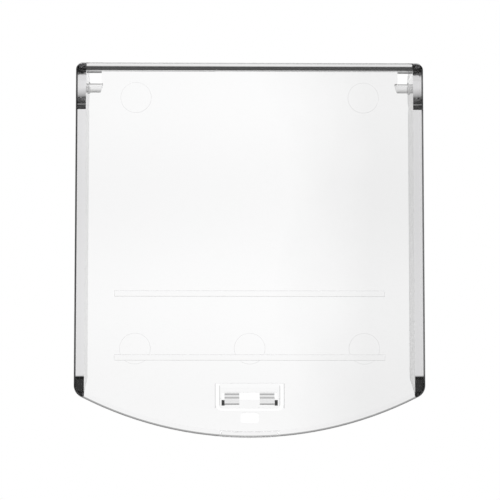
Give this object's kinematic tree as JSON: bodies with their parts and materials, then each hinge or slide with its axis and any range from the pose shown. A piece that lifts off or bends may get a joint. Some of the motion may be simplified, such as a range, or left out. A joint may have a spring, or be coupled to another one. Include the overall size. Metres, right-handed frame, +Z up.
{
  "type": "vandal-proof cover",
  "caption": "Clear hinged cover for a key box or switch: flat front, deep side walls with stub hinge pins at the top, curved lower edge, snap latch tongue and key slot.",
  "frame": {"origin": "middle of the hinge axis, between the two stub pins", "axes": "+X along the hinge axis to the viewer's right, -Y out of the front face towards the viewer, +Z up towards the hinged edge"},
  "size_m": [0.14, 0.0309, 0.1508],
  "materials": {
    "clear_plastic": "clear colourless polycarbonate, polished"
  },
  "bodies": {
    "cover": {"front_panel": "clear_plastic", "top_wall": "clear_plastic", "left_cheek": "clear_plastic", "right_cheek": "clear_plastic", "bottom_wall": "clear_plastic", "finger_tab": "clear_plastic", "left_hinge_pin": "clear_plastic", "right_hinge_pin": "clear_plastic", "upper_label_rail": "clear_plastic", "lower_label_rail": "clear_plastic", "latch_flexure": "clear_plastic"},
    "latch": {"latch_tongue": "clear_plastic", "left_latch_stem": "clear_plastic", "right_latch_stem": "clear_plastic", "left_latch_barb": "clear_plastic", "right_latch_barb": "clear_plastic"}
  },
  "joints": [
    {"name": "latch_flex", "type": "hinge", "parent": "cover", "child": "latch", "pos_m": [0, -0.02385, -0.1241], "axis": [-1, 0, 0], "range_deg": [-3, 14], "stiffness_Nm_per_rad": 1.3}
  ]
}
